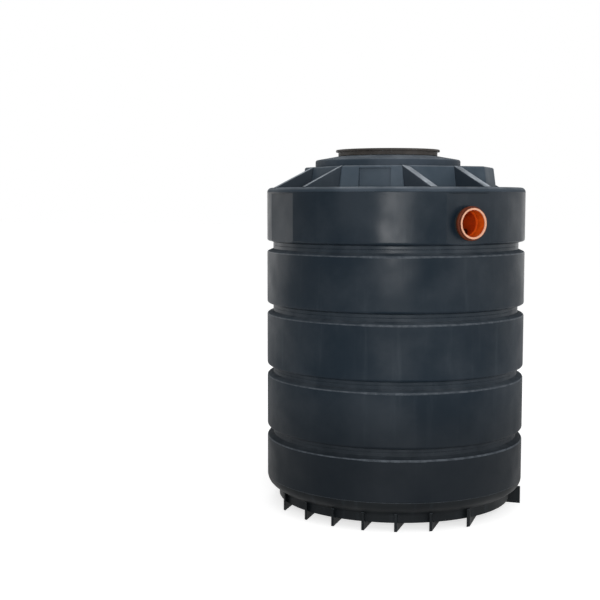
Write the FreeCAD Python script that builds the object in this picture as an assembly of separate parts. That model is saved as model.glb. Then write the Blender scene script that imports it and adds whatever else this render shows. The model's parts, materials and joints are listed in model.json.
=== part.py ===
import FreeCAD, Part
import math
import os

Vec = FreeCAD.Vector

# Packaged sewage treatment plant: a moulded plastic tank with grooved walls, a ribbed roof,
# a low neck with a flat lid, and orange pipe sockets in two flats of the top band.
# Millimetres, +Z up. The origin is on the tank's axis at ground level and the front is -Y.

# Shell
TANK_RADIUS = 850.0        # outside of the wall bands
WALL = 10.0                # moulded wall of tank and roof
GROOVE_DEPTH = 40.0        # how far a ring groove goes in
GROOVE_HEIGHT = 72.0       # opening of a ring groove, from band edge to band edge
GROOVE_UPPER_FLANK = 10.0  # height of the steep flank under a band
GROOVE_LOWER_FLANK = 18.0  # height of the slope out to the next band
BAND_HEIGHT = 338.0        # each of the three middle bands
TOP_BAND_HEIGHT = 344.0    # top band with the rounded rim on it
LOWEST_BAND_HEIGHT = 259.0
BAND_EDGE_ROUND = 14.0     # rounding of the band edges
FLAT_DEPTH = 14.0          # how far the flats cut into the top band
FLAT_LIP = 8.0             # full round left above a flat
FLAT_ANGLES = (45.0, 135.0, 225.0, 315.0)

# Base
UNDERCUT_WIDTH = 80.0      # the upright base ring stands this far in from the wall
UNDERCUT_HEIGHT = 90.0     # rounded underside between base ring and lowest band
UNDERCUT_EDGE = 40.0       # upright part of the underside, below the lowest band
UNDERCUT_ROUND = 70.0
BASE_RING_HEIGHT = 55.0
BASE_RING_ROUND = 15.0
BASE_RIB_HEIGHT = 50.0     # ribs lift the bottom off the ground by this much
BASE_RIB_THICKNESS = 16.0
BASE_RIB_SPACING = 201.0
BASE_RIBS_PER_SIDE = 3     # ribs on each side of the middle one
BASE_TAB_WIDTH = 24.0      # tabs at the ribs' ends, outside the base ring
BASE_TAB_RISE = 7.0        # the tabs reach this far above the base ring
SIDE_FOOT_BACK = 150.0     # the side feet stand this far behind the middle
SIDE_TAB_WIDTH = 78.0      # the side feet's tabs, outside the base ring

# Roof
RIM_ROUND = 30.0           # outer rounding of the rim
RIM_WIDTH = 58.0           # from the outside to the inner face of the rim
RIM_INNER_ROUND = 20.0
TROUGH_DEPTH = 70.0        # trough floor below the rim
DECK_SEAT = 52.0           # the trough floor runs this far under the deck's slanted walls
DECK_HEIGHT = 132.0        # deck top above the rim
DECK_REACH = 620.0         # from the axis to the front, back and right faces, at the deck's top
DECK_LEFT_REACH = 545.0    # the left face is nearer, under the neck's side
DECK_SLANT_REACH = 572.0   # from the axis to the four slanted faces, at the deck's top
DECK_DRAFT = 7.5           # slope of the deck's walls in degrees
DECK_EDGE_ROUND = 14.0
RECESS_LEFT = 80.0         # shallow recess in the deck's front wall, left and right of the middle
RECESS_RIGHT = 120.0
RECESS_DEPTH = 16.0
RECESS_TOP_GAP = 16.0      # full wall left above the recess
ROOF_RIB_WIDTH = 60.0
ROOF_RIB_ROUND = 8.0
ROOF_RIB_SPLAY = 15.0      # ribs turn from the slanted face toward the side by this angle
ROOF_RIB_FRONT_OFFSET = 272.0   # from the slanted face's middle to the rib nearer the front or back
ROOF_RIB_SIDE_OFFSET = 106.0    # from the slanted face's middle to the front rib nearer the side
ROOF_RIB_REAR_OFFSET = 20.0     # the same at the back, where that rib stands nearer the other
ROOF_RIB_TOP_GAP = 4.0          # the rib meets the deck this far below the deck's top
ROOF_RIB_RIM_GAP = 25.0         # the rib's slope runs into the rim this far from the outside

# Neck and lid
NECK_X = -42.0
NECK_Y = -45.0
NECK_RADIUS = 476.0
NECK_HEIGHT = 46.0
NECK_ROUND = 14.0
NECK_CONE_HEIGHT = 29.0
COLLAR_RADIUS = 313.0      # upright collar round the opening, under the lid
COLLAR_HEIGHT = 20.0
LID_RADIUS = 341.0
LID_THICKNESS = 14.0
LID_EDGE_ROUND = 5.0
LID_SKIRT = 12.0           # wall of the skirt round the collar
LID_SEAL_HEIGHT = 6.0
LID_DISH = 3.0             # sunk middle of the lid
LID_DISH_RADIUS = 270.0

# Pipe sockets
INLET_ANGLE = 45.0         # from the front toward +X
OUTLET_ANGLE = 225.0
INLET_BELOW_RIM = 220.0    # socket centre below the rim
OUTLET_BELOW_INLET = 10.0
PIPE_RADIUS = 80.0         # outside of the pipe behind the socket
PIPE_WALL = 4.0
SOCKET_BORE = 81.5         # radius that a pipe slides into
SOCKET_DEPTH = 76.0        # depth of that bore
SOCKET_SHOULDER = 10.0
SOCKET_REACH = 59.0        # mouth in front of the flat
SOCKET_LIP = 14.5          # thickness of the ring at the mouth
SOCKET_LIP_WIDTH = 9.0
SOCKET_BEAD = 22.0         # thickness of the bead that holds the sealing ring
SOCKET_BEAD_WIDTH = 15.0
SOCKET_STEP = 8.0          # length of the slopes before and behind the bead
SPIGOT_LENGTH = 24.0
SEAL_WALL = 6.0
SEAL_FLANGE = 5.0          # how far the seal's lips stand over the wall
SEAL_LIP = 5.0
BEND_RADIUS = 130.0
BEND_ANGLE = 87.0

FIT = 0.3                  # clearance between round pieces that fit into each other

# Heights and radii worked out from the sizes above
BASE_RADIUS = TANK_RADIUS - UNDERCUT_WIDTH
BASE_RING_TOP = BASE_RIB_HEIGHT + BASE_RING_HEIGHT
BASE_TAB_TOP = BASE_RING_TOP + BASE_TAB_RISE
WALL_BOTTOM = BASE_RING_TOP + UNDERCUT_HEIGHT
BAND_TOPS = [WALL_BOTTOM + LOWEST_BAND_HEIGHT + i * (GROOVE_HEIGHT + BAND_HEIGHT) for i in range(4)]
TOP_BAND_BOTTOM = BAND_TOPS[3] + GROOVE_HEIGHT
RIM_TOP = TOP_BAND_BOTTOM + TOP_BAND_HEIGHT
RIM_INNER_RADIUS = TANK_RADIUS - RIM_WIDTH
SHOULDER = RIM_TOP - RIM_ROUND
TROUGH_FLOOR = RIM_TOP - TROUGH_DEPTH
TROUGH_INNER_RADIUS = DECK_SLANT_REACH - DECK_SEAT
DECK_TOP = RIM_TOP + DECK_HEIGHT
NECK_TOP = DECK_TOP + NECK_HEIGHT
CONE_TOP = NECK_TOP + NECK_CONE_HEIGHT
COLLAR_TOP = CONE_TOP + COLLAR_HEIGHT
LID_BOTTOM = COLLAR_TOP + LID_SEAL_HEIGHT
GROOVE_RADIUS = TANK_RADIUS - GROOVE_DEPTH
ROOF_RIB_END = TANK_RADIUS - ROOF_RIB_RIM_GAP
FLAT_DISTANCE = TANK_RADIUS - FLAT_DEPTH
INLET_HEIGHT = RIM_TOP - INLET_BELOW_RIM
OUTLET_HEIGHT = INLET_HEIGHT - OUTLET_BELOW_INLET
SOCKET_OUTER = SOCKET_BORE + PIPE_WALL
SEAL_OUTER = SOCKET_OUTER + FIT + SEAL_WALL


def unit(vector):
    return vector * (1.0 / vector.Length)


def inset(line, distance):
    """Points (r, z) of a line moved toward the inside by a wall, with mitred corners."""
    normals = []
    for (r0, z0), (r1, z1) in zip(line, line[1:]):
        length = math.hypot(r1 - r0, z1 - z0)
        normals.append(((z1 - z0) / length, (r0 - r1) / length))
    ends = [normals[0]] + normals + [normals[-1]]
    moved = []
    for (r, z), (ar, az), (br, bz) in zip(line, ends, ends[1:]):
        share = distance / (1.0 + ar * br + az * bz)
        moved.append((r + share * (ar + br), z + share * (az + bz)))
    return moved


def rounded_wire(corners):
    """A closed outline in the XZ plane from corners (r, z, rounding)."""
    places = [Vec(r, 0, z) for r, z, _ in corners]
    starts = []
    ends = []
    arcs = []
    for i, (_, _, radius) in enumerate(corners):
        here = places[i]
        back = unit(places[i - 1] - here)
        ahead = unit(places[(i + 1) % len(places)] - here)
        half = back.getAngle(ahead) / 2.0
        reach = radius / math.tan(half) if radius > 0 else 0.0
        starts.append(here + back * reach)
        ends.append(here + ahead * reach)
        if radius > 0:
            middle = here + unit(back + ahead) * (radius / math.sin(half) - radius)
            arcs.append(Part.Arc(starts[i], middle, ends[i]).toShape())
        else:
            arcs.append(None)
    edges = []
    for i in range(len(corners)):
        if arcs[i] is not None:
            edges.append(arcs[i])
        following = starts[(i + 1) % len(corners)]
        if (following - ends[i]).Length > 1e-6:
            edges.append(Part.makeLine(ends[i], following))
    return Part.Wire(edges)


def turned(corners):
    """A solid of revolution about Z from corners (r, z, rounding)."""
    return Part.Face(rounded_wire(corners)).revolve(Vec(0, 0, 0), Vec(0, 0, 1), 360)


def wall_outline(line, wall):
    """Corners of a wall whose outside follows a line of (r, z, rounding), taken from the top.

    Inside, only the wide roundings are kept.
    """
    inner = inset([(r, z) for r, z, _ in line], wall)
    back = []
    for (r, z), (_, _, radius) in zip(inner, line):
        back.append((r, z, radius - wall if radius >= 2 * wall else 0.0))
    return line + back[::-1]


def placed(shape, angle, height):
    """A shape made about Z, laid along a pipe's axis: its Z points outward at an angle."""
    shape = shape.copy()
    shape.rotate(Vec(0, 0, 0), Vec(1, 0, 0), 90)
    shape.rotate(Vec(0, 0, 0), Vec(0, 0, 1), angle)
    shape.translate(Vec(0, 0, height))
    return shape


def facing(shape, angle):
    """A shape made toward the front (-Y), turned to an angle from the front toward +X."""
    shape = shape.copy()
    shape.rotate(Vec(0, 0, 0), Vec(0, 0, 1), angle)
    return shape


def groove_edges(band_bottom):
    """Outside line of a groove below a band, from the band's edge to the next band's edge."""
    next_top = band_bottom - GROOVE_HEIGHT
    return [
        (TANK_RADIUS, band_bottom, BAND_EDGE_ROUND),
        (GROOVE_RADIUS, band_bottom - GROOVE_UPPER_FLANK, 0.0),
        (GROOVE_RADIUS, next_top + GROOVE_LOWER_FLANK, 0.0),
        (TANK_RADIUS, next_top, BAND_EDGE_ROUND),
    ]


def groove_middle(band_bottom):
    """The point on the groove's floor where two wall bands meet."""
    upper = band_bottom - GROOVE_UPPER_FLANK
    lower = band_bottom - GROOVE_HEIGHT + GROOVE_LOWER_FLANK
    return (GROOVE_RADIUS, (upper + lower) / 2.0, 0.0)


def make_band(number):
    """A wall band below the top one, counted from the top."""
    top = BAND_TOPS[5 - number]
    above = top + GROOVE_HEIGHT
    line = [groove_middle(above)] + groove_edges(above)[2:]
    if number == 5:
        line.append((TANK_RADIUS, WALL_BOTTOM, 0.0))
    else:
        bottom = top - BAND_HEIGHT
        line = line + groove_edges(bottom)[:2] + [groove_middle(bottom)]
    return turned(wall_outline(line, WALL))


def flat_blocks(distance, top):
    """Blocks that take the four flats off the top band."""
    bottom = TOP_BAND_BOTTOM - GROOVE_HEIGHT
    blocks = []
    for angle in FLAT_ANGLES:
        block = Part.makeBox(TANK_RADIUS * 2, TANK_RADIUS, top - bottom)
        block.translate(Vec(-TANK_RADIUS, -distance - TANK_RADIUS, bottom))
        blocks.append(facing(block, angle))
    return blocks


def make_top_band():
    """Top band with its four flats and the holes for the two sockets."""
    line = [(TANK_RADIUS, SHOULDER, 0.0)] + groove_edges(TOP_BAND_BOTTOM)[:2]
    line.append(groove_middle(TOP_BAND_BOTTOM))
    corners = wall_outline(line, WALL)
    axis = [(0.0, line[-1][1], 0.0), (0.0, SHOULDER, 0.0)]
    outside = turned(corners[:len(line)] + axis)
    inside = turned(corners[:len(line) - 1:-1] + axis)
    flat_top = SHOULDER - FLAT_LIP
    body = outside.cut(flat_blocks(FLAT_DISTANCE, flat_top))
    hollow = inside.cut(flat_blocks(FLAT_DISTANCE - WALL, flat_top + WALL))
    hole = Part.makeCylinder(SEAL_OUTER + FIT, TANK_RADIUS)
    holes = [placed(hole, INLET_ANGLE, INLET_HEIGHT), placed(hole, OUTLET_ANGLE, OUTLET_HEIGHT)]
    return body.cut(hollow).cut(holes)


def base_line():
    """Outside line of the base ring with the rounded underside, from the top."""
    return [
        (TANK_RADIUS, WALL_BOTTOM, 0.0),
        (TANK_RADIUS, WALL_BOTTOM - UNDERCUT_EDGE, UNDERCUT_ROUND),
        (BASE_RADIUS, BASE_RING_TOP, BASE_RING_ROUND),
        (BASE_RADIUS, BASE_RIB_HEIGHT, 0.0),
    ]


def make_base_ring():
    return turned(wall_outline(base_line(), WALL))


def make_base_plate():
    plate = Part.makeCylinder(BASE_RADIUS - WALL - FIT, WALL)
    plate.translate(Vec(0, 0, BASE_RIB_HEIGHT))
    return plate


def base_filled():
    """Everything inside the base ring and its underside, with room for a fit."""
    line = [(r + FIT, z, 0.0) for r, z, _ in base_line()]
    return turned(line + [(0.0, BASE_RIB_HEIGHT, 0.0), (0.0, WALL_BOTTOM, 0.0)])


def base_piece(plate, tab_width):
    """A plate under the bottom whose tabs stand up outside the base ring."""
    return plate.common(Part.makeCylinder(BASE_RADIUS + tab_width, BASE_TAB_TOP)).cut(base_filled())


def make_base_rib(x):
    """A rib that runs from front to back."""
    plate = Part.makeBox(BASE_RIB_THICKNESS, 2 * TANK_RADIUS, BASE_TAB_TOP)
    plate.translate(Vec(x - BASE_RIB_THICKNESS / 2, -TANK_RADIUS, 0))
    return base_piece(plate, BASE_TAB_WIDTH)


def make_side_foot(side):
    """A short foot from the outermost rib to the side."""
    start = BASE_RIBS_PER_SIDE * BASE_RIB_SPACING + BASE_RIB_THICKNESS / 2
    plate = Part.makeBox(TANK_RADIUS - start, BASE_RIB_THICKNESS, BASE_TAB_TOP)
    plate.translate(Vec(start, SIDE_FOOT_BACK - BASE_RIB_THICKNESS / 2, 0))
    if side < 0:
        plate = plate.mirror(Vec(0, 0, 0), Vec(1, 0, 0))
    return base_piece(plate, SIDE_TAB_WIDTH)


def make_roof_rim():
    """The rounded rim with the trough floor inside it, from the inner edge to the shoulder."""
    line = [
        (TROUGH_INNER_RADIUS, TROUGH_FLOOR, 0.0),
        (RIM_INNER_RADIUS, TROUGH_FLOOR, 0.0),
        (RIM_INNER_RADIUS, RIM_TOP, RIM_INNER_ROUND),
        (TANK_RADIUS, RIM_TOP, RIM_ROUND),
        (TANK_RADIUS, SHOULDER, 0.0),
    ]
    return turned(wall_outline(line, WALL))


def octagon(more, z):
    """Outline of the deck, wider all round than at its top: straight sides with slanted ones between."""
    reach = DECK_REACH + more
    left = DECK_LEFT_REACH + more
    slant = (DECK_SLANT_REACH + more) * math.sqrt(2.0)
    points = []
    for x, y in ((reach, reach), (-left, reach), (-left, -reach), (reach, -reach)):
        along = math.copysign(slant - abs(y), x)
        across = math.copysign(slant - abs(x), y)
        pair = [Vec(x, across, z), Vec(along, y, z)]
        points += pair if x * y > 0 else pair[::-1]
    return Part.makePolygon(points + points[:1])


def deck_body(shrink, bottom, top):
    """The deck's drafted block, smaller all round by a wall's thickness."""
    spread = math.tan(math.radians(DECK_DRAFT))
    outlines = []
    for z in (bottom, top):
        outlines.append(octagon((DECK_TOP - z) * spread - shrink, z))
    return Part.makeLoft(outlines, True, True)


def recess_block(grow):
    """Block that sinks the recess into the deck's front wall."""
    floor = DECK_REACH - RECESS_DEPTH - grow
    block = Part.makeBox(RECESS_LEFT + RECESS_RIGHT + 2 * grow, TANK_RADIUS - floor, DECK_TOP)
    block.translate(Vec(-RECESS_LEFT - grow, -TANK_RADIUS, grow - RECESS_TOP_GAP))
    return block


def deck_outside():
    """The deck's outside with rounded upright and top edges."""
    body = deck_body(0.0, TROUGH_FLOOR, DECK_TOP)
    edges = [e for e in body.Edges if e.BoundBox.ZMax > RIM_TOP]
    return body.makeFillet(DECK_EDGE_ROUND, edges)


def make_roof_deck():
    outside = deck_outside().cut(recess_block(0.0))
    inside = deck_body(WALL, TROUGH_FLOOR, DECK_TOP - WALL).cut(recess_block(WALL))
    opening = Part.makeCylinder(NECK_RADIUS - 2 * WALL, DECK_TOP)
    opening.translate(Vec(NECK_X, NECK_Y, 0))
    return outside.cut(inside).cut(opening)


def rib_room():
    """The free room over the trough and the rim that a roof rib may fill."""
    return turned([
        (0.0, TROUGH_FLOOR, 0.0),
        (RIM_INNER_RADIUS - FIT, TROUGH_FLOOR, 0.0),
        (RIM_INNER_RADIUS - FIT, RIM_TOP + FIT, 0.0),
        (TANK_RADIUS, RIM_TOP + FIT, 0.0),
        (TANK_RADIUS, DECK_TOP, 0.0),
        (0.0, DECK_TOP, 0.0),
    ])


def make_roof_rib(face_angle, turn, offset):
    """A rib sloping from a slanted deck face down to the rim.

    The offset is measured along the face toward the front or back, and turn is +1 or -1 as the
    side lies at a larger or smaller angle than the face.
    """
    splay = math.radians(ROOF_RIB_SPLAY)
    start = DECK_SLANT_REACH * math.cos(splay) - offset * math.sin(splay)
    aside = DECK_SLANT_REACH * math.sin(splay) + offset * math.cos(splay)
    end = math.sqrt(ROOF_RIB_END ** 2 - aside ** 2)
    top = DECK_TOP - ROOF_RIB_TOP_GAP
    slope = (top - RIM_TOP) / (end - start)
    x = -ROOF_RIB_WIDTH / 2
    inner = start - ROOF_RIB_WIDTH
    outer = end + ROOF_RIB_WIDTH
    side = [
        Vec(x, -inner, TOP_BAND_BOTTOM),
        Vec(x, -outer, TOP_BAND_BOTTOM),
        Vec(x, -outer, RIM_TOP - (outer - end) * slope),
        Vec(x, -inner, top + (start - inner) * slope),
    ]
    rib = Part.Face(Part.makePolygon(side + side[:1])).extrude(Vec(ROOF_RIB_WIDTH, 0, 0))
    sloping = []
    for edge in rib.Edges:
        along = edge.tangentAt(edge.FirstParameter)
        if abs(along.z) > 0.05 and abs(along.y) > 0.05:
            sloping.append(edge)
    rib = rib.makeFillet(ROOF_RIB_ROUND, sloping)
    rib.translate(Vec(-turn * aside, 0, 0))
    return facing(rib, face_angle + turn * ROOF_RIB_SPLAY).common(rib_room()).cut(deck_outside())


def make_neck():
    """Round neck with a shallow cone up to the collar that carries the lid."""
    line = [
        (COLLAR_RADIUS, COLLAR_TOP, 0.0),
        (COLLAR_RADIUS, CONE_TOP, 0.0),
        (NECK_RADIUS, NECK_TOP, NECK_ROUND),
        (NECK_RADIUS, DECK_TOP, 0.0),
    ]
    neck = turned(wall_outline(line, WALL))
    neck.translate(Vec(NECK_X, NECK_Y, 0))
    return neck


def make_lid():
    """Flat lid with a rounded edge, a sunk middle and a skirt round the collar."""
    skirt_inner = COLLAR_RADIUS + FIT
    skirt_outer = skirt_inner + LID_SKIRT
    top = LID_BOTTOM + LID_THICKNESS
    lid = turned([
        (0.0, top - LID_DISH, 0.0),
        (LID_DISH_RADIUS, top - LID_DISH, 0.0),
        (LID_DISH_RADIUS + 2 * LID_DISH, top, 0.0),
        (LID_RADIUS, top, LID_EDGE_ROUND),
        (LID_RADIUS, LID_BOTTOM, 0.0),
        (skirt_outer, LID_BOTTOM, 0.0),
        (skirt_outer, CONE_TOP, 0.0),
        (skirt_inner, CONE_TOP, 0.0),
        (skirt_inner, LID_BOTTOM, 0.0),
        (0.0, LID_BOTTOM, 0.0),
    ])
    lid.translate(Vec(NECK_X, NECK_Y, 0))
    return lid


def make_lid_seal():
    """Flat ring between the collar's top and the lid."""
    seal = turned([
        (COLLAR_RADIUS - WALL, COLLAR_TOP, 0.0),
        (COLLAR_RADIUS, COLLAR_TOP, 0.0),
        (COLLAR_RADIUS, LID_BOTTOM, 0.0),
        (COLLAR_RADIUS - WALL, LID_BOTTOM, 0.0),
    ])
    seal.translate(Vec(NECK_X, NECK_Y, 0))
    return seal


def socket_ends():
    """Distances from the tank's axis to the socket's mouth, bore end, shoulder end and pipe end."""
    mouth = FLAT_DISTANCE + SOCKET_REACH
    bore_end = mouth - SOCKET_DEPTH
    shoulder_end = bore_end - SOCKET_SHOULDER
    return mouth, bore_end, shoulder_end, shoulder_end - SPIGOT_LENGTH


def make_socket(angle, height):
    """Pipe socket with a thick mouth and the bead that holds its sealing ring."""
    mouth, bore_end, shoulder_end, pipe_end = socket_ends()
    lip_back = mouth - SOCKET_LIP_WIDTH
    bead_front = lip_back - SOCKET_STEP
    bead_back = bead_front - SOCKET_BEAD_WIDTH
    socket = turned([
        (SOCKET_BORE, mouth, 0.0),
        (SOCKET_BORE + SOCKET_LIP, mouth, 0.0),
        (SOCKET_BORE + SOCKET_LIP, lip_back, 0.0),
        (SOCKET_OUTER, lip_back, 0.0),
        (SOCKET_BORE + SOCKET_BEAD, bead_front, 0.0),
        (SOCKET_BORE + SOCKET_BEAD, bead_back, 0.0),
        (SOCKET_OUTER, bead_back - SOCKET_STEP, 0.0),
        (SOCKET_OUTER, bore_end, 0.0),
        (PIPE_RADIUS, shoulder_end, 0.0),
        (PIPE_RADIUS, pipe_end, 0.0),
        (PIPE_RADIUS - PIPE_WALL, pipe_end, 0.0),
        (PIPE_RADIUS - PIPE_WALL, shoulder_end, 0.0),
        (SOCKET_BORE, bore_end, 0.0),
    ])
    return placed(socket, angle, height)


def make_pipe_seal(angle, height):
    """Rubber ring in the wall's hole with a lip on both sides of the wall."""
    inner = SOCKET_OUTER + FIT
    front = FLAT_DISTANCE
    back = FLAT_DISTANCE - WALL
    lip = SEAL_OUTER + SEAL_FLANGE
    seal = turned([
        (inner, front + SEAL_LIP, 0.0),
        (lip, front + SEAL_LIP, 0.0),
        (lip, front, 0.0),
        (SEAL_OUTER, front, 0.0),
        (SEAL_OUTER, back, 0.0),
        (lip, back, 0.0),
        (lip, back - SEAL_LIP, 0.0),
        (inner, back - SEAL_LIP, 0.0),
    ])
    return placed(seal, angle, height)


def make_bend(angle, height):
    """Pipe bend behind the socket, turning down into the tank."""
    start = socket_ends()[3]
    centre = Vec(0, -BEND_RADIUS, start)
    tubes = []
    for radius in (PIPE_RADIUS, PIPE_RADIUS - PIPE_WALL):
        disc = Part.Face(Part.Wire(Part.makeCircle(radius, Vec(0, 0, start))))
        tubes.append(disc.revolve(centre, Vec(-1, 0, 0), BEND_ANGLE))
    return placed(tubes[0].cut(tubes[1]), angle, height)


def build():
    """All pieces by name."""
    pieces = {"wall_band_1": make_top_band()}
    for number in (2, 3, 4, 5):
        pieces["wall_band_%d" % number] = make_band(number)
    pieces["base_ring"] = make_base_ring()
    pieces["base_plate"] = make_base_plate()
    for i in range(2 * BASE_RIBS_PER_SIDE + 1):
        pieces["base_rib_%d" % (i + 1)] = make_base_rib((i - BASE_RIBS_PER_SIDE) * BASE_RIB_SPACING)
    pieces["side_foot_left"] = make_side_foot(-1)
    pieces["side_foot_right"] = make_side_foot(1)
    pieces["roof_rim"] = make_roof_rim()
    pieces["roof_deck"] = make_roof_deck()
    count = 0
    front = (ROOF_RIB_FRONT_OFFSET, -ROOF_RIB_SIDE_OFFSET)
    rear = (ROOF_RIB_FRONT_OFFSET, ROOF_RIB_REAR_OFFSET)
    for angle, turn, offsets in ((45, 1, front), (135, -1, rear), (225, 1, rear), (315, -1, front)):
        for offset in offsets:
            count += 1
            pieces["roof_rib_%d" % count] = make_roof_rib(angle, turn, offset)
    pieces["neck"] = make_neck()
    pieces["lid"] = make_lid()
    pieces["lid_seal"] = make_lid_seal()
    ends = (("inlet", INLET_ANGLE, INLET_HEIGHT), ("outlet", OUTLET_ANGLE, OUTLET_HEIGHT))
    for name, angle, height in ends:
        pieces[name + "_socket"] = make_socket(angle, height)
        pieces[name + "_seal"] = make_pipe_seal(angle, height)
        pieces[name + "_bend"] = make_bend(angle, height)
    return pieces


os.makedirs("parts", exist_ok=True)
for name, shape in build().items():
    solids = shape.Solids
    solid = solids[0] if len(solids) == 1 else Part.makeCompound(solids)
    solid.exportStep("parts/%s.step" % name)
    print(name, len(solids), solid.isValid(), round(solid.Volume / 1e3, 1), "cm3")
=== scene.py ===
import bpy
import json
import math
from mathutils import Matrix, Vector

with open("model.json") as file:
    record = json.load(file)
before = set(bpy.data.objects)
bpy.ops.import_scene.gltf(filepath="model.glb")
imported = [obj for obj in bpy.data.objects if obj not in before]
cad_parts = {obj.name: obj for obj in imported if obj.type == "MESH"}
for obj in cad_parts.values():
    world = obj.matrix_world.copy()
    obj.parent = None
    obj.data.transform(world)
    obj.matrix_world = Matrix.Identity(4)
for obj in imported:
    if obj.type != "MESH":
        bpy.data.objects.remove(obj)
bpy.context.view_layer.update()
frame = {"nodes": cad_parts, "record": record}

# Camera, in metres and degrees: it stands in front of the tank, a little to the right
CAMERA_AZIMUTH = 13.5
CAMERA_DISTANCE = 7.576
CAMERA_HEIGHT = 2.025
CAMERA_YAW = -4.79         # turned left of the tank's axis
CAMERA_PITCH = 5.09        # looking down
CAMERA_LENS = 67.9

# Studio
FLOOR_SIZE = 160.0
FLOOR_COLOUR = (0.58, 0.58, 0.58)
FLOOR_GLOW = 0.66          # lifts the floor to the white background where it is seen
AMBIENT_LEVEL = 0.24       # world light on the object
FLOOR_ROUGHNESS = 0.9
SUN_LEVEL = 1.20           # soft light from above
SUN_ANGLE = 70.0           # its softness in degrees
SUN_PLACE = (20.0, 3.0, 9.0, 0.0)      # azimuth, distance, height, height aimed at
# Softboxes: name, azimuth from the front, distance, height, height aimed at, size, power
SOFTBOXES = (
    ("key", 14.0, 8.5, 2.6, 1.7, (2.2, 2.4), 440.0),
    ("fill", 74.0, 6.0, 2.3, 1.5, (4.0, 3.0), 65.0),
    ("left", -95.0, 5.0, 2.4, 1.4, (1.2, 3.0), 6.0),
    ("right", 105.0, 5.0, 2.4, 1.4, (1.2, 3.0), 10.0),
    ("back", 194.0, 6.5, 2.4, 1.4, (2.0, 3.0), 70.0),
)

# Directions
ACROSS = (1.0, 0.0, 0.0)
BACKWARD = (0.0, 1.0, 0.0)
UP = (0.0, 0.0, 1.0)

# Tank plastic
WALL_DARK = (0.0036, 0.0092, 0.0155)
WALL_PALE = (0.0160, 0.0225, 0.0300)
# Base: the walls' plastic darkened as painted shade
BASE_SHADE_DARK = (0.0018, 0.0031, 0.0044)
BASE_SHADE_PALE = (0.0052, 0.0069, 0.0082)
# Roof rim and neck: paler than the walls, as painted light from above
ROOF_LIT_DARK = (0.0190, 0.0290, 0.0400)
ROOF_LIT_PALE = (0.0380, 0.0500, 0.0650)
# Roof ribs: darker than the roof and deck, as painted shade on their sides
RIB_SHADE_DARK = (0.0140, 0.0210, 0.0290)
RIB_SHADE_PALE = (0.0260, 0.0340, 0.0440)
# Roof deck: paler still, as painted light on its walls
DECK_LIT_DARK = (0.0340, 0.0490, 0.0650)
DECK_LIT_PALE = (0.0600, 0.0780, 0.0980)
PLASTIC_SCUFF = (0.048, 0.060, 0.072)
# Dust colours; on faces that look up they also paint the sky's sheen, and in the grooves light that
# lifts their shade
WALL_DUST_AND_LIGHT = (0.086, 0.101, 0.117)
# Rubbed edges, also painted as a highlight
EDGE_WEAR_AND_HIGHLIGHT = (0.058, 0.068, 0.080)
# Dust and painted sky sheen on the roof's upward faces; bleaching and painted sheen on the rib tops
ROOF_DUST_AND_SHEEN = (0.140, 0.160, 0.182)
RIB_BLEACH_AND_SHEEN = (0.390, 0.430, 0.475)
PLASTIC_SPECULAR = 0.13
PLASTIC_ROUGHNESS = (0.28, 0.38)
DUSTY_ROUGHNESS = 0.85
DULL_WALL = 0.28           # added roughness low on the walls and on the base
DULL_ROOF = 0.26
WALL_COVER = 0.30          # how far dust and a painted sky sheen cover faces that look up
BASE_COVER = 0.60
ROOF_COVER = 0.85
RIB_COVER = 0.95
THINNEST_COVER = 0.4            # share of that cover where the dust and painted sheen are thinnest
DUST_AND_SHEEN_SLOPES = (0.35, 0.90)      # upward part of the normal where dust and painted sheen start and where they are full
EDGE_SOFT = 0.008          # radius over which moulded edges catch the light
EDGE_SLOPES = (0.05, 0.50)      # upward part of the normal where edges start to be rubbed and take a painted highlight
EDGE_TURNS = (0.02, 0.16)       # turn of the softened normal there
RUBBED_LEAST = 0.4
RUN_STRETCH = (14.0, 14.0, 1.3)     # streaks that run down the wall
RUN_NOISE = (1.0, 6.0, 0.6)         # scale, detail and roughness of the pattern
RUN_RANGE = (0.52, 0.80)
RUN_COVER = 0.20
WAVE_STRETCH = (3.0, 3.0, 3.8)      # unevenness of the moulded walls
WAVE_SHIFT = (0.0, 0.0, 0.7)
WAVE_NOISE = (1.0, 1.0, 0.4)
WAVE_HEIGHT = 0.030
WAVE_STRENGTH = 0.8

# Grooved walls
GROOVE_FLOOR = 0.815       # from the tank's axis
GROOVE_EDGE = 0.845
# dust in the ring grooves, also painted light that lifts their shade
GROOVE_DUST_AND_LIGHT = 0.60
LIP_INSET = (0.012, 0.004)      # the rubbed lip with its painted highlight starts and is full this far inside the edge
LIP_STARTS = (0.08, 0.35)       # upward part of the normal over which the lip's rubbing and painted highlight start
LIP_ENDS = (0.65, 0.88)         # and end
# Painted shade: the lower bands get a darker colour towards the bottom
LOW_WALL_SHADE = (0.0015, 0.0030, 0.0048)
LOW_SHADE_HEIGHTS = (0.35, 1.00)   # painted shade on the lower bands: full below, none above
LOW_SHADE_COVER = 0.75
DULL_HEIGHTS = (0.70, 1.95)     # and duller

# Other materials
LID_DARK = (0.020, 0.017, 0.015)
LID_LIGHT = (0.042, 0.037, 0.033)
PIPE_ORANGE = (0.62, 0.090, 0.006)
# darker patches, and the painted shade deep in the bore
PIPE_DARK_AND_SHADE = (0.36, 0.030, 0.003)
# painted shade on the outside of the sockets and bends
PIPE_OUTSIDE_SHADE = (0.036, 0.010, 0.004)
PIPE_LIP = (0.62, 0.33, 0.22)
RUBBER_DARK = (0.006, 0.006, 0.006)
RUBBER_LIGHT = (0.020, 0.020, 0.019)
LID_ROUGHNESS = (0.50, 0.68)
PIPE_ROUGHNESS = (0.30, 0.44)
RUBBER_ROUGHNESS = (0.60, 0.80)
LID_SPECULAR = 0.25
PIPE_SPECULAR = 0.15
RUBBER_SPECULAR = 0.3
LID_EDGE_SOFT = 0.004
PIPE_EDGE_SOFT = 0.003
LID_SPECK_COVER = 0.5

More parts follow.
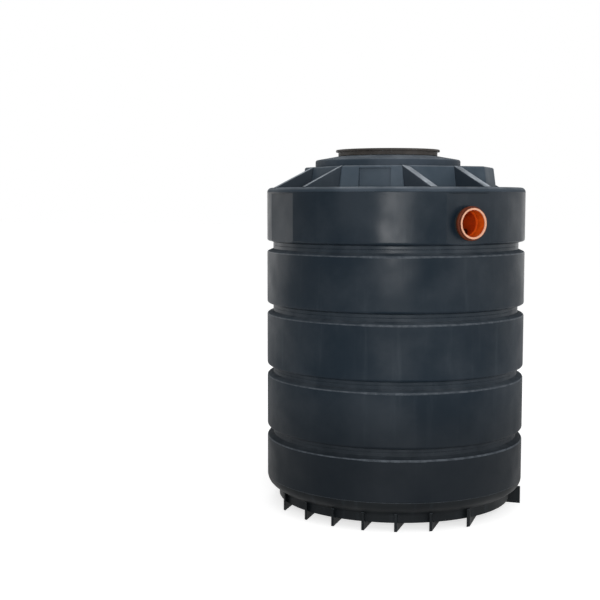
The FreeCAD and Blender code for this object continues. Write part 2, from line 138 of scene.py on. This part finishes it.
# Mottled patterns: scale, detail, and the part of the pattern's range that is spread out
WALL_CLOUDS = (2.2, 5.0, 0.34, 0.68)
DUST_AND_SHEEN_PATCHES = (9.0, 6.0, 0.30, 0.72)
RUBBED_PATCHES = (26.0, 5.0, 0.35, 0.65)
PLASTIC_SHINE = (5.0, 7.0, 0.30, 0.72)
PLASTIC_SHINE_ROUGH = 0.65
LID_CLOUDS = (7.0, 6.0, 0.35, 0.68)
LID_SPECKS = (140.0, 3.0, 0.60, 0.74)
LID_SHINE = (12.0, 5.0, 0.30, 0.70)
PIPE_PATCHES = (16.0, 4.0, 0.35, 0.70)
PIPE_SHINE = (30.0, 4.0, 0.30, 0.70)
RUBBER_CLOUDS = (40.0, 5.0, 0.35, 0.70)
RUBBER_SHINE = (70.0, 4.0, 0.30, 0.70)

# Fine grain of the surfaces: scale, detail, height and strength
PLASTIC_GRAIN = (420.0, 2.0, 0.0006, 0.18)
LID_GRAIN = (380.0, 3.0, 0.0008, 0.25)
PIPE_GRAIN = (240.0, 2.0, 0.0004, 0.12)
RUBBER_GRAIN = (500.0, 2.0, 0.0004, 0.2)

# Pipe sockets, measured along the line that both lie on
SOCKET_AXIS = (math.sqrt(0.5), -math.sqrt(0.5), 0.0)
SOCKET_ACROSS = (math.sqrt(0.5), math.sqrt(0.5), 0.0)
SOCKET_LIP_BACK = 0.886
SOCKET_BORE = 0.0815
SOCKET_BORE_END = 0.819
SOCKET_LIP = 0.0105        # pale width of the mouth's ring
LIP_COVER = 0.95
LIP_FRONT_FADE = 0.004
LIP_SIDE_FADE = 0.002
BORE_SHADE_FADE = 0.02           # painted shade: the bore darkens over this length at its inner end
BORE_SHADE_LEVEL = 0.1
PATCH_LEAST = 0.5
OUTSIDE_SHADE_STARTS = (0.001, 0.003)     # the painted shade starts and is full this far outside the bore's radius
OUTSIDE_SHADE_COVER = 0.9
WEATHER_DULL = 0.25
INLET_HEIGHT = 1.880
OUTLET_HEIGHT = 1.870


class Nodes:
    """Short calls for building a material's node tree."""

    def __init__(self, name):
        self.material = bpy.data.materials.new(name)
        self.material.use_nodes = True
        self.tree = self.material.node_tree
        self.shader = self.tree.nodes["Principled BSDF"]
        self.place = self.add("ShaderNodeTexCoord").outputs["Object"]

    def add(self, kind, **settings):
        node = self.tree.nodes.new(kind)
        for key, value in settings.items():
            setattr(node, key, value)
        return node

    def link(self, source, target):
        self.tree.links.new(source, target)

    def put(self, socket, value):
        if isinstance(value, bpy.types.NodeSocket):
            self.link(value, socket)
        else:
            socket.default_value = value

    def stretched(self, scale, shift=(0.0, 0.0, 0.0)):
        """The object's coordinates, scaled apart along the axes and moved."""
        node = self.add("ShaderNodeMapping")
        self.link(self.place, node.inputs["Vector"])
        node.inputs["Scale"].default_value = scale
        node.inputs["Location"].default_value = shift
        return node.outputs["Vector"]

    def noise(self, scale, detail=4.0, rough=0.55, vector=None):
        node = self.add("ShaderNodeTexNoise")
        self.link(vector or self.place, node.inputs["Vector"])
        node.inputs["Scale"].default_value = scale
        node.inputs["Detail"].default_value = detail
        node.inputs["Roughness"].default_value = rough
        return node.outputs["Fac"]

    def ramp(self, value, low, high, bottom=0.0, top=1.0):
        node = self.add("ShaderNodeMapRange", interpolation_type="SMOOTHSTEP")
        self.link(value, node.inputs["Value"])
        node.inputs["From Min"].default_value = low
        node.inputs["From Max"].default_value = high
        node.inputs["To Min"].default_value = bottom
        node.inputs["To Max"].default_value = top
        return node.outputs["Result"]

    def mottled(self, pattern, bottom=0.0, top=1.0, rough=0.55):
        """A patchy value between two levels."""
        scale, detail, low, high = pattern
        return self.ramp(self.noise(scale, detail, rough), low, high, bottom, top)

    def math(self, operation, a, b=0.0):
        node = self.add("ShaderNodeMath", operation=operation)
        self.put(node.inputs[0], a)
        self.put(node.inputs[1], b)
        return node.outputs["Value"]

    def dot(self, a, b):
        node = self.add("ShaderNodeVectorMath", operation="DOT_PRODUCT")
        self.put(node.inputs[0], a)
        self.put(node.inputs[1], b)
        return node.outputs["Value"]

    def length(self, a, b):
        squares = [self.math("MULTIPLY", side, side) for side in (a, b)]
        return self.math("SQRT", self.math("ADD", *squares))

    def mix(self, factor, a, b):
        node = self.add("ShaderNodeMix", data_type="RGBA")
        self.put(node.inputs["Factor"], factor)
        colours = [s for s in node.inputs if s.type == "RGBA"]
        for socket, value in zip(colours, (a, b)):
            self.put(socket, (*value, 1.0) if isinstance(value, tuple) else value)
        return [s for s in node.outputs if s.type == "RGBA"][0]

    def bump(self, height, distance, strength, normal=None):
        node = self.add("ShaderNodeBump")
        self.link(height, node.inputs["Height"])
        node.inputs["Distance"].default_value = distance
        node.inputs["Strength"].default_value = strength
        if normal is not None:
            self.link(normal, node.inputs["Normal"])
        return node.outputs["Normal"]

    def grained(self, grain, normal=None):
        """A normal with a fine grain on it."""
        scale, detail, height, strength = grain
        return self.bump(self.noise(scale, detail), height, strength, normal)

    def soft_edges(self, radius):
        node = self.add("ShaderNodeBevel", samples=6)
        node.inputs["Radius"].default_value = radius
        return node.outputs["Normal"]

    def face_normal(self):
        return self.add("ShaderNodeNewGeometry").outputs["Normal"]

    def edge_amount(self, soft_normal):
        """How far the softened normal turns from the face's own: high along edges."""
        return self.math("SUBTRACT", 1.0, self.dot(soft_normal, self.face_normal()))

    def upward(self):
        """How far a face looks up."""
        return self.dot(self.face_normal(), UP)

    def finish(self, colour, roughness, normal, specular):
        self.link(colour, self.shader.inputs["Base Color"])
        self.link(roughness, self.shader.inputs["Roughness"])
        self.link(normal, self.shader.inputs["Normal"])
        self.shader.inputs["Specular IOR Level"].default_value = specular
        return self.material


def shade_lower_walls(m, colour, shine):
    """Paints shade on the lower bands, darker towards the bottom, and makes them duller."""
    height = m.dot(m.place, UP)
    low_shade = m.ramp(height, *LOW_SHADE_HEIGHTS, LOW_SHADE_COVER, 0.0)
    duller = m.ramp(height, *DULL_HEIGHTS, DULL_WALL, 0.0)
    return m.mix(low_shade, colour, LOW_WALL_SHADE), m.math("ADD", shine, duller)


def groove_dust_and_light(m, colour, radius, patches):
    """Dust that lies in the ring grooves, also painted light that lifts their shade."""
    inside = m.ramp(radius, GROOVE_FLOOR, GROOVE_EDGE, GROOVE_DUST_AND_LIGHT, 0.0)
    return m.mix(m.math("MULTIPLY", inside, patches), colour, WALL_DUST_AND_LIGHT)


def rubbed_and_lit_lips(m, radius, up):
    """How far the rounded upper edges of the wall bands are rubbed and painted with a highlight."""
    turn = m.math("MULTIPLY", m.ramp(up, *LIP_STARTS), m.ramp(up, *LIP_ENDS, 1.0, 0.0))
    inset, full = LIP_INSET
    return m.math("MULTIPLY", turn, m.ramp(radius, GROOVE_EDGE - inset, GROOVE_EDGE - full))


def rubbed_and_lit_edges(m, soft):
    """How far sharp edges that look up are rubbed and painted with a highlight."""
    turn = m.ramp(m.dot(soft, UP), *EDGE_SLOPES)
    return m.math("MULTIPLY", turn, m.ramp(m.edge_amount(soft), *EDGE_TURNS))


def tank_material(name, dark, pale, top_colour, top_amount, dull=0.0, grooved=False):
    """Satin black polyethylene with dust and a painted sky sheen on top, faint streaks, scuffed edges
    with a painted highlight and a moulded skin.
    """
    m = Nodes(name)
    colour = m.mix(m.mottled(WALL_CLOUDS), dark, pale)
    runs = m.noise(*RUN_NOISE, m.stretched(RUN_STRETCH))
    colour = m.mix(m.ramp(runs, *RUN_RANGE, 0.0, RUN_COVER), colour, PLASTIC_SCUFF)
    up = m.upward()
    # Faces that look up get dust, which also paints the sky's sheen
    patches = m.mottled(DUST_AND_SHEEN_PATCHES, THINNEST_COVER * top_amount, top_amount)
    dust_and_sheen = m.math("MULTIPLY", m.ramp(up, *DUST_AND_SHEEN_SLOPES), patches)
    colour = m.mix(dust_and_sheen, colour, top_colour)
    soft = m.soft_edges(EDGE_SOFT)
    least, most = PLASTIC_ROUGHNESS
    shine = m.mottled(PLASTIC_SHINE, least + dull, most + dull, PLASTIC_SHINE_ROUGH)
    if grooved:
        # Grooved walls: painted shade on the lower bands, dust and painted light in the grooves,
        # painted highlight on the lips
        colour, shine = shade_lower_walls(m, colour, shine)
        radius = m.length(m.dot(m.place, ACROSS), m.dot(m.place, BACKWARD))
        colour = groove_dust_and_light(m, colour, radius, patches)
        worn_and_lit = rubbed_and_lit_lips(m, radius, up)
    else:
        worn_and_lit = rubbed_and_lit_edges(m, soft)
    rubbed = m.mottled(RUBBED_PATCHES, RUBBED_LEAST)
    # Rubbed edges, which also carry a painted highlight
    colour = m.mix(m.math("MULTIPLY", worn_and_lit, rubbed), colour, EDGE_WEAR_AND_HIGHLIGHT)
    roughness = m.math("MAXIMUM", shine, m.ramp(up, *DUST_AND_SHEEN_SLOPES, 0.0, DUSTY_ROUGHNESS))
    dents = m.noise(*WAVE_NOISE, m.stretched(WAVE_STRETCH, WAVE_SHIFT))
    waves = m.bump(dents, WAVE_HEIGHT, WAVE_STRENGTH, soft)
    return m.finish(colour, roughness, m.grained(PLASTIC_GRAIN, waves), PLASTIC_SPECULAR)


def lid_material():
    """Dark brown moulded plastic, matte and speckled with dry dirt."""
    m = Nodes("lid_plastic")
    colour = m.mix(m.mottled(LID_CLOUDS), LID_DARK, LID_LIGHT)
    colour = m.mix(m.mottled(LID_SPECKS, 0.0, LID_SPECK_COVER), colour, WALL_DUST_AND_LIGHT)
    roughness = m.mottled(LID_SHINE, *LID_ROUGHNESS)
    skin = m.grained(LID_GRAIN, m.soft_edges(LID_EDGE_SOFT))
    return m.finish(colour, roughness, skin, LID_SPECULAR)


def pipe_material(name, height):
    """Orange sewer pipe plastic, dull outside and darkened there with painted shade, with painted
    shade deep in the bore and a pale ring at the socket's mouth.
    """
    m = Nodes(name)
    along = m.math("ABSOLUTE", m.dot(m.place, SOCKET_AXIS))
    above = m.math("SUBTRACT", m.dot(m.place, UP), height)
    radius = m.length(m.dot(m.place, SOCKET_ACROSS), above)
    # Darker patches, and painted shade that darkens the bore at its inner end
    unshaded = m.ramp(along, SOCKET_BORE_END - BORE_SHADE_FADE, SOCKET_BORE_END, BORE_SHADE_LEVEL, 1.0)
    near = m.math("MULTIPLY", m.mottled(PIPE_PATCHES, PATCH_LEAST), unshaded)
    colour = m.mix(near, PIPE_DARK_AND_SHADE, PIPE_ORANGE)
    # Painted shade darkens everything outside the bore's radius; there it is also duller
    start, full = OUTSIDE_SHADE_STARTS
    outside = m.ramp(radius, SOCKET_BORE + start, SOCKET_BORE + full, 0.0, OUTSIDE_SHADE_COVER)
    colour = m.mix(outside, colour, PIPE_OUTSIDE_SHADE)
    front = m.ramp(along, SOCKET_LIP_BACK, SOCKET_LIP_BACK + LIP_FRONT_FADE)
    lip_outer = SOCKET_BORE + SOCKET_LIP
    ring = m.ramp(radius, lip_outer, lip_outer + LIP_SIDE_FADE, LIP_COVER, 0.0)
    colour = m.mix(m.math("MULTIPLY", front, ring), colour, PIPE_LIP)
    shine = m.mottled(PIPE_SHINE, *PIPE_ROUGHNESS)
    roughness = m.math("ADD", shine, m.math("MULTIPLY", outside, WEATHER_DULL))
    skin = m.grained(PIPE_GRAIN, m.soft_edges(PIPE_EDGE_SOFT))
    return m.finish(colour, roughness, skin, PIPE_SPECULAR)


def rubber_material():
    """Matte black rubber with a dusty bloom."""
    m = Nodes("seal_rubber")
    colour = m.mix(m.mottled(RUBBER_CLOUDS), RUBBER_DARK, RUBBER_LIGHT)
    roughness = m.mottled(RUBBER_SHINE, *RUBBER_ROUGHNESS)
    return m.finish(colour, roughness, m.grained(RUBBER_GRAIN), RUBBER_SPECULAR)


def dress_nodes():
    """Gives each CAD node the material of its slot in the record; the roof and deck are paler than the
    walls as painted light, and the ribs (darker than the deck) and the base (darker than the walls)
    carry painted shade.
    """
    materials = {
        "tank": tank_material("tank_wall", WALL_DARK, WALL_PALE, WALL_DUST_AND_LIGHT, WALL_COVER, grooved=True),
        "lid": lid_material(),
        "pipe": pipe_material("inlet_pipe", INLET_HEIGHT),
        "rubber": rubber_material(),
    }
    base = tank_material("tank_base", BASE_SHADE_DARK, BASE_SHADE_PALE, WALL_DUST_AND_LIGHT, BASE_COVER, DULL_WALL)
    roof = tank_material("tank_roof", ROOF_LIT_DARK, ROOF_LIT_PALE, ROOF_DUST_AND_SHEEN, ROOF_COVER, DULL_ROOF)
    deck = tank_material("tank_deck", DECK_LIT_DARK, DECK_LIT_PALE, ROOF_DUST_AND_SHEEN, ROOF_COVER, DULL_ROOF)
    ribs = tank_material("tank_roof_ribs", RIB_SHADE_DARK, RIB_SHADE_PALE, RIB_BLEACH_AND_SHEEN, RIB_COVER, DULL_ROOF)
    outlet = pipe_material("outlet_pipe", OUTLET_HEIGHT)
    for part in frame["record"]["subparts"]:
        name = part["node"]
        material = materials[part["material_slot"]]
        if name.startswith("roof_rib"):
            material = ribs
        elif name == "roof_deck":
            material = deck
        elif name in ("roof_rim", "neck"):
            material = roof
        elif name.startswith(("base", "side_foot")):
            material = base
        elif name in ("outlet_socket", "outlet_bend"):
            material = outlet
        for slot in frame["nodes"][name].material_slots:
            slot.material = material


def add_camera():
    """The photo's view: from the front, a little to the right and looking slightly down."""
    azimuth = math.radians(CAMERA_AZIMUTH)
    yaw = math.radians(CAMERA_YAW)
    pitch = math.radians(CAMERA_PITCH)
    ahead = Vector((-math.sin(azimuth), math.cos(azimuth), 0.0))
    right = Vector((math.cos(azimuth), math.sin(azimuth), 0.0))
    level = ahead * math.cos(yaw) + right * math.sin(yaw)
    aim = level * math.cos(pitch) - Vector((0.0, 0.0, math.sin(pitch)))
    data = bpy.data.cameras.new("camera")
    data.lens = CAMERA_LENS
    camera = bpy.data.objects.new("camera", data)
    camera.location = -ahead * CAMERA_DISTANCE + Vector((0.0, 0.0, CAMERA_HEIGHT))
    camera.rotation_euler = aim.to_track_quat("-Z", "Y").to_euler()
    bpy.context.scene.collection.objects.link(camera)
    bpy.context.scene.camera = camera


def aim_lamp(data, azimuth, distance, height, aim_height):
    """Puts a lamp on a circle round the tank, aimed at its axis."""
    lamp = bpy.data.objects.new(data.name, data)
    angle = math.radians(azimuth)
    lamp.location = (distance * math.sin(angle), -distance * math.cos(angle), height)
    toward = Vector((0.0, 0.0, aim_height)) - lamp.location
    lamp.rotation_euler = toward.to_track_quat("-Z", "Y").to_euler()
    bpy.context.scene.collection.objects.link(lamp)


def add_softbox(name, azimuth, distance, height, aim_height, size, power):
    """A rectangular studio lamp."""
    data = bpy.data.lights.new(name, "AREA")
    data.shape = "RECTANGLE"
    data.size, data.size_y = size
    data.energy = power
    aim_lamp(data, azimuth, distance, height, aim_height)


def add_sun():
    """Wide, soft light from above."""
    data = bpy.data.lights.new("sun", "SUN")
    data.energy = SUN_LEVEL
    data.angle = math.radians(SUN_ANGLE)
    aim_lamp(data, *SUN_PLACE)


def seen_level(tree, lighting, seen):
    """One level for rays that light the object, another for rays that show the background."""
    path = tree.nodes.new("ShaderNodeLightPath")
    total = path.outputs["Is Camera Ray"]
    for name in ("Is Glossy Ray", "Is Transmission Ray"):
        either = tree.nodes.new("ShaderNodeMath")
        either.operation = "MAXIMUM"
        tree.links.new(total, either.inputs[0])
        tree.links.new(path.outputs[name], either.inputs[1])
        total = either.outputs["Value"]
    level = tree.nodes.new("ShaderNodeMapRange")
    tree.links.new(total, level.inputs["Value"])
    level.inputs["To Min"].default_value = lighting
    level.inputs["To Max"].default_value = seen
    return level.outputs["Result"]


def add_floor():
    """A wide pale floor that shows as white as the background but keeps the shadow."""
    half = FLOOR_SIZE / 2
    corners = [(-half, -half, 0), (half, -half, 0), (half, half, 0), (-half, half, 0)]
    mesh = bpy.data.meshes.new("floor")
    mesh.from_pydata(corners, [], [(0, 1, 2, 3)])
    floor = bpy.data.objects.new("floor", mesh)
    material = bpy.data.materials.new("floor_pale")
    material.use_nodes = True
    tree = material.node_tree
    shader = tree.nodes["Principled BSDF"]
    shader.inputs["Base Color"].default_value = (*FLOOR_COLOUR, 1.0)
    shader.inputs["Roughness"].default_value = FLOOR_ROUGHNESS
    shader.inputs["Specular IOR Level"].default_value = 0.0
    shader.inputs["Emission Color"].default_value = (1.0, 1.0, 1.0, 1.0)
    tree.links.new(seen_level(tree, 0.0, FLOOR_GLOW), shader.inputs["Emission Strength"])
    mesh.materials.append(material)
    bpy.context.scene.collection.objects.link(floor)


def add_world():
    """Soft light from all round, with a white background behind the object."""
    world = bpy.data.worlds.new("studio")
    world.use_nodes = True
    tree = world.node_tree
    background = tree.nodes["Background"]
    background.inputs["Color"].default_value = (1.0, 1.0, 1.0, 1.0)
    tree.links.new(seen_level(tree, AMBIENT_LEVEL, 1.0), background.inputs["Strength"])
    bpy.context.scene.world = world


dress_nodes()
add_camera()
add_sun()
for softbox in SOFTBOXES:
    add_softbox(*softbox)
add_floor()
add_world()
bpy.context.scene.view_settings.view_transform = "Standard"
